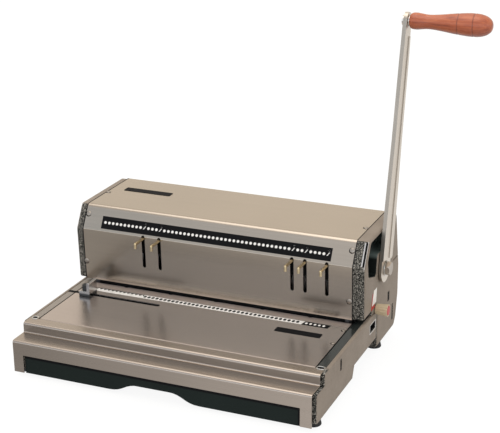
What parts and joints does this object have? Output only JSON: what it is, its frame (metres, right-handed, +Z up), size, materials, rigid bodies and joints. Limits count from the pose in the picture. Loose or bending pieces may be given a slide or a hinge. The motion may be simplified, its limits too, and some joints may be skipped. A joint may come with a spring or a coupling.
{
  "type": "coil binding punch",
  "caption": "Desk coil binding punch: stainless table and housing, long pull lever with a turned wooden grip, release pulls, side guide and chip drawer.",
  "frame": {"origin": "under the middle of the whole box, on the surface that the feet stand on", "axes": "+X to the right as seen from the front, +Y to the rear, +Z up"},
  "size_m": [0.5594, 0.351, 0.4717],
  "materials": {
    "stainless": "brushed stainless sheet, lightly grained",
    "vein_paint": "silver-vein hammertone paint",
    "dark_plastic": "dark moulded plastic",
    "drawer_plastic": "dark moulded plastic, matt",
    "rubber": "black rubber",
    "tool_steel": "ground steel",
    "frame_paint": "grey painted steel",
    "brass": "bright brass",
    "chrome": "bright plated steel",
    "lever_steel": "brushed plated bar",
    "wood": "red-brown varnished hardwood",
    "knob_beige": "beige moulded plastic",
    "cap_red": "red moulded plastic"
  },
  "bodies": {
    "base": {"base_front_cover": "stainless", "table_plate": "stainless", "housing_cover": "stainless", "rear_cover": "stainless", "base_cap_left": "vein_paint", "base_cap_right": "vein_paint", "side_cover_left": "vein_paint", "side_cover_right": "vein_paint", "square_port_cup": "dark_plastic", "table_strip_left": "dark_plastic", "table_strip_right": "dark_plastic", "recess_cup_left": "dark_plastic", "recess_cup_right": "dark_plastic", "foot_front_left": "rubber", "foot_rear_left": "rubber", "foot_front_right": "rubber", "foot_rear_right": "rubber", "base_pan": "frame_paint", "side_frame_left": "frame_paint", "side_frame_right": "frame_paint", "shaft_bushing_left": "brass", "shaft_bushing_right": "brass", "die_plate": "tool_steel", "pin_guide_plate": "tool_steel", "spring_stud_left": "tool_steel", "spring_stud_right": "tool_steel", "return_spring_left": "chrome", "return_spring_right": "chrome"},
    "lever": {"drive_shaft": "tool_steel", "pinion_left": "tool_steel", "pinion_right": "tool_steel", "lever_arm": "lever_steel", "lever_washer": "chrome", "lever_bolt": "chrome", "grip_spindle": "chrome"},
    "grip": {"wooden_grip": "wood"},
    "punch": {"punch_bar": "tool_steel", "punch_pin_comb": "tool_steel", "rack_left": "tool_steel", "rack_right": "tool_steel"},
    "pull_11": {"release_pull_11": "brass"},
    "pull_15": {"release_pull_15": "brass"},
    "pull_47": {"release_pull_47": "brass"},
    "pull_50": {"release_pull_50": "brass"},
    "pull_55": {"release_pull_55": "brass"},
    "drawer": {"chip_drawer": "drawer_plastic"},
    "guide": {"side_guide": "chrome"},
    "guide_screw": {"side_guide_screw": "chrome"},
    "margin_setting": {"margin_knob": "knob_beige", "margin_knob_cap": "cap_red", "depth_shaft": "tool_steel"},
    "backstop": {"paper_backstop": "tool_steel"}
  },
  "joints": [
    {"name": "lever_pull", "type": "hinge", "parent": "base", "child": "lever", "pos_m": [-0.06135, 0.08796, 0.125], "axis": [1, 0, 0], "range_deg": [0, 100], "stiffness_Nm_per_rad": 0.9, "springref_deg": -45.84},
    {"name": "punch_drop", "type": "slide", "parent": "base", "child": "punch", "axis": [0, 0, -1], "range_m": [0, 0.0333], "deforming": ["return_spring_left", "return_spring_right"]},
    {"name": "grip_spin", "type": "hinge", "parent": "lever", "child": "grip", "pos_m": [0.22365, 0.16004, 0.45615], "axis": [1, 0, 0], "continuous": true},
    {"name": "pull_11_out", "type": "slide", "parent": "punch", "child": "pull_11", "axis": [0, -1, 0], "range_m": [0, 0.007]},
    {"name": "pull_15_out", "type": "slide", "parent": "punch", "child": "pull_15", "axis": [0, -1, 0], "range_m": [0, 0.007]},
    {"name": "pull_47_out", "type": "slide", "parent": "punch", "child": "pull_47", "axis": [0, -1, 0], "range_m": [0, 0.007]},
    {"name": "pull_50_out", "type": "slide", "parent": "punch", "child": "pull_50", "axis": [0, -1, 0], "range_m": [0, 0.007]},
    {"name": "pull_55_out", "type": "slide", "parent": "punch", "child": "pull_55", "axis": [0, -1, 0], "range_m": [0, 0.007]},
    {"name": "drawer_out", "type": "slide", "parent": "base", "child": "drawer", "axis": [0, -1, 0], "range_m": [0, 0.17]},
    {"name": "guide_shift", "type": "slide", "parent": "base", "child": "guide", "axis": [1, 0, 0], "range_m": [0, 0.1]},
    {"name": "guide_screw_turn", "type": "hinge", "parent": "guide", "child": "guide_screw", "pos_m": [-0.24625, -0.02714, 0.08], "axis": [0, 0, 1], "continuous": true},
    {"name": "margin_turn", "type": "hinge", "parent": "base", "child": "margin_setting", "pos_m": [-0.06135, 0.06196, 0.0736], "axis": [1, 0, 0], "range_deg": [-12, 24]},
    {"name": "backstop_shift", "type": "slide", "parent": "base", "child": "backstop", "axis": [0, 1, 0], "range_m": [-0.0015, 0.003]}
  ],
  "couplings": [
    {"joint": "punch_drop", "follows": "lever_pull", "m_per_rad": 0.019},
    {"joint": "margin_turn", "follows": "backstop_shift", "rad_per_m": 138.89}
  ]
}
